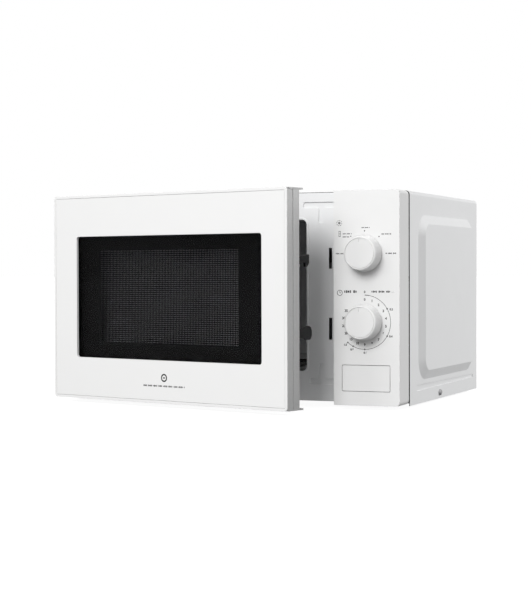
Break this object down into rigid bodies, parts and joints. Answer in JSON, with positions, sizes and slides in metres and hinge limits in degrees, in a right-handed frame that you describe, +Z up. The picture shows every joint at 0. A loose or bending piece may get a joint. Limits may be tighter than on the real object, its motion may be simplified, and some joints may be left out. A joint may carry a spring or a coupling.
{
  "type": "microwave oven",
  "caption": "Box-shaped countertop microwave oven with a side-hinged window door, two round dials, a wide release key, a turntable cavity and a full set of inner parts.",
  "frame": {"origin": "centre of the cabinet's footprint, on the surface that the feet stand on", "axes": "+Z up; the door and the control panel face -Y; +X is to the right of someone facing the oven"},
  "size_m": [0.463, 0.4544, 0.257],
  "materials": {
    "aluminium": "bare aluminium",
    "black_plastic": "matte black moulding",
    "board": "paper phenolic board",
    "cavity_paint": "smooth pale grey enamel",
    "clear_glass": "clear pressed glass",
    "copper": "varnished copper wire",
    "core_steel": "varnished laminations",
    "dark_glass": "dark tinted pane",
    "film": "thin clear film",
    "galvanised": "dull galvanised sheet",
    "grey_paint": "grey painted steel",
    "grey_plastic": "grey engineering plastic",
    "mica": "pressed mica sheet",
    "rubber": "soft black rubber",
    "screen_steel": "black perforated sheet",
    "steel": "bright steel",
    "white_paint": "fine textured white powder coat",
    "white_plastic": "satin white moulding"
  },
  "bodies": {
    "cabinet": {"outer_cover": "white_paint", "base_plate": "galvanised", "feet": "rubber", "back_panel": "galvanised", "case_screws": "steel", "cavity_front_frame": "white_paint", "cavity_shell": "cavity_paint", "waveguide": "galvanised", "mica_cover": "mica", "upper_hinge": "steel", "lower_hinge": "steel", "turntable_motor": "galvanised", "motor_cover": "galvanised", "control_panel": "white_plastic", "timer_power_unit": "galvanised", "timer_bell": "steel", "button_spring": "steel", "latch_board": "grey_plastic", "interlock_switches": "black_plastic", "magnetron_yoke": "galvanised", "magnetron_tube": "aluminium", "magnetron_fins": "aluminium", "magnetron_filter_box": "galvanised", "transformer_core": "core_steel", "transformer_windings": "copper", "hv_capacitor": "aluminium", "hv_diode": "black_plastic", "fan_bracket": "galvanised", "fan_motor": "core_steel", "air_duct": "grey_plastic", "oven_lamp": "clear_glass", "thermal_cutouts": "aluminium", "noise_filter_board": "board", "cord_gland": "black_plastic"},
    "door": {"door_frame": "white_plastic", "door_shell": "grey_paint", "door_fascia": "white_plastic", "door_window": "dark_glass", "door_screen": "screen_steel", "choke_frame": "galvanised", "choke_cover": "black_plastic", "door_inner_film": "film", "latch_spring": "steel"},
    "latch": {"latch_hooks": "black_plastic"},
    "button": {"release_button": "white_plastic"},
    "lever": {"release_lever": "grey_plastic"},
    "power_dial": {"power_knob": "white_plastic", "power_shaft": "steel"},
    "timer_dial": {"timer_knob": "white_plastic", "timer_shaft": "steel"},
    "tray": {"drive_coupler": "grey_plastic", "glass_tray": "clear_glass"},
    "ring": {"roller_ring": "grey_plastic"},
    "roller_1": {"roller_1": "grey_plastic"},
    "roller_2": {"roller_2": "grey_plastic"},
    "roller_3": {"roller_3": "grey_plastic"},
    "fan": {"fan_blade": "grey_plastic"},
    "primary_plunger": {"primary_plunger": "grey_plastic"},
    "secondary_plunger": {"secondary_plunger": "grey_plastic"},
    "monitor_plunger": {"monitor_plunger": "grey_plastic"}
  },
  "joints": [
    {"name": "door_hinge", "type": "hinge", "parent": "cabinet", "child": "door", "pos_m": [-0.2155, -0.1585, 0.135], "axis": [0, 0, -1], "range_deg": [-16.3, 83.7]},
    {"name": "latch_lift", "type": "slide", "parent": "door", "child": "latch", "axis": [0, 0, 1], "range_m": [0, 0.005], "stiffness_N_per_m": 150, "springref_m": -0.01, "deforming": ["latch_spring"]},
    {"name": "button_press", "type": "slide", "parent": "cabinet", "child": "button", "axis": [0, 1, 0], "range_m": [0, 0.005], "stiffness_N_per_m": 500, "springref_m": -0.004, "deforming": ["button_spring"]},
    {"name": "release_lever_turn", "type": "hinge", "parent": "cabinet", "child": "lever", "pos_m": [0.14, -0.133, 0.068], "axis": [1, 0, 0], "range_deg": [0, 12]},
    {"name": "power_knob_turn", "type": "hinge", "parent": "cabinet", "child": "power_dial", "pos_m": [0.1833, -0.16, 0.183], "axis": [0, 1, 0], "range_deg": [-90, 90]},
    {"name": "timer_knob_turn", "type": "hinge", "parent": "cabinet", "child": "timer_dial", "pos_m": [0.1833, -0.16, 0.1033], "axis": [0, 1, 0], "range_deg": [0, 300]},
    {"name": "turntable_spin", "type": "hinge", "parent": "cabinet", "child": "tray", "pos_m": [-0.0543, 0.006, 0.04], "axis": [0, 0, 1], "continuous": true},
    {"name": "roller_ring_spin", "type": "hinge", "parent": "cabinet", "child": "ring", "pos_m": [-0.0543, 0.006, 0.04], "axis": [0, 0, 1], "continuous": true},
    {"name": "roller_1_spin", "type": "hinge", "parent": "ring", "child": "roller_1", "pos_m": [0.03057, 0.055, 0.04035], "axis": [0.866, 0.5, 0], "continuous": true},
    {"name": "roller_2_spin", "type": "hinge", "parent": "ring", "child": "roller_2", "pos_m": [-0.13917, 0.055, 0.04035], "axis": [-0.866, 0.5, 0], "continuous": true},
    {"name": "roller_3_spin", "type": "hinge", "parent": "ring", "child": "roller_3", "pos_m": [-0.0543, -0.092, 0.04035], "axis": [0, -1, 0], "continuous": true},
    {"name": "fan_spin", "type": "hinge", "parent": "cabinet", "child": "fan", "pos_m": [0.162, 0.13, 0.175], "axis": [0, 1, 0], "continuous": true},
    {"name": "primary_plunger_press", "type": "slide", "parent": "cabinet", "child": "primary_plunger", "axis": [0, 1, 0], "range_m": [0, 0.001], "stiffness_N_per_m": 100, "springref_m": -0.002},
    {"name": "secondary_plunger_press", "type": "slide", "parent": "cabinet", "child": "secondary_plunger", "axis": [0, 1, 0], "range_m": [0, 0.001], "stiffness_N_per_m": 100, "springref_m": -0.002},
    {"name": "monitor_plunger_press", "type": "slide", "parent": "cabinet", "child": "monitor_plunger", "axis": [0, 1, 0], "range_m": [0, 0.001], "stiffness_N_per_m": 100, "springref_m": -0.002}
  ],
  "couplings": [
    {"joint": "release_lever_turn", "follows": "button_press", "rad_per_m": 41.667},
    {"joint": "roller_ring_spin", "follows": "turntable_spin", "ratio": 0.5},
    {"joint": "roller_1_spin", "follows": "turntable_spin", "ratio": -7.84},
    {"joint": "roller_2_spin", "follows": "turntable_spin", "ratio": -7.84},
    {"joint": "roller_3_spin", "follows": "turntable_spin", "ratio": -7.84}
  ]
}
